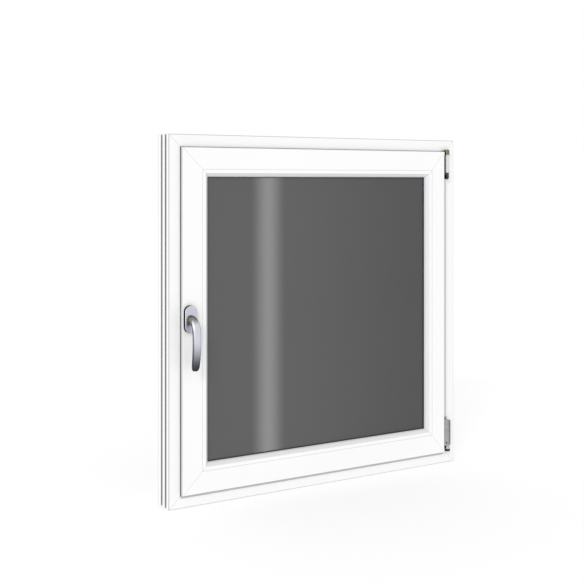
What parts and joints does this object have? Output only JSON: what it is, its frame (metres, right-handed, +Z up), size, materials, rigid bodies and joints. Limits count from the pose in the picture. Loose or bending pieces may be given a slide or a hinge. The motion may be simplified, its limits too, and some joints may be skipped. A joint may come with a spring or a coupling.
{
  "type": "single sash window",
  "caption": "Square white plastic window with one inward-opening sash, double glazing, a turning lever handle and hinges on the right.",
  "frame": {"origin": "middle of the frame's bottom edge, on the flat land half way through the frame's depth", "axes": "+X along the width towards the hinge side, +Y outdoors, -Y into the room, +Z up"},
  "size_m": [0.95, 0.1373, 0.98],
  "materials": {
    "white_pvc": "smooth satin white",
    "white_cover": "smooth white",
    "tinted_glass": "grey sheet glass",
    "spacer_metal": "dull metal",
    "seal_rubber": "matte black",
    "satin_aluminium": "satin anodised",
    "hinge_zinc": "grey zinc coated steel",
    "hinge_dark": "black coated steel",
    "hinge_bronze": "bronze coated steel"
  },
  "bodies": {
    "window": {"frame_head": "white_pvc", "frame_bottom_rail": "white_pvc", "frame_left_jamb": "white_pvc", "frame_right_jamb": "white_pvc", "sash_top_rail": "white_pvc", "sash_bottom_rail": "white_pvc", "sash_handle_stile": "white_pvc", "sash_hinge_stile": "white_pvc", "bead_top": "white_pvc", "bead_bottom": "white_pvc", "bead_left": "white_pvc", "bead_right": "white_pvc", "room_pane": "tinted_glass", "outer_pane": "tinted_glass", "spacer_frame": "spacer_metal", "edge_sealant": "seal_rubber", "room_glass_seal": "seal_rubber", "outer_glass_seal": "seal_rubber", "sash_flange_seal": "seal_rubber", "frame_stop_seal": "seal_rubber", "handle_rosette": "satin_aluminium", "upper_hinge_bracket": "hinge_dark", "upper_hinge_knuckle": "hinge_bronze", "upper_hinge_sleeve": "white_cover", "upper_hinge_pin": "hinge_zinc", "lower_hinge_bearing": "hinge_dark", "lower_hinge_pivot": "hinge_dark", "lower_hinge_band": "hinge_zinc", "drain_caps": "white_cover"},
    "handle": {"handle_lever": "satin_aluminium"}
  },
  "joints": [
    {"name": "handle_turn", "type": "hinge", "parent": "window", "child": "handle", "pos_m": [-0.421, -0.058, 0.496], "axis": [0, -1, 0], "range_deg": [0, 180]}
  ]
}
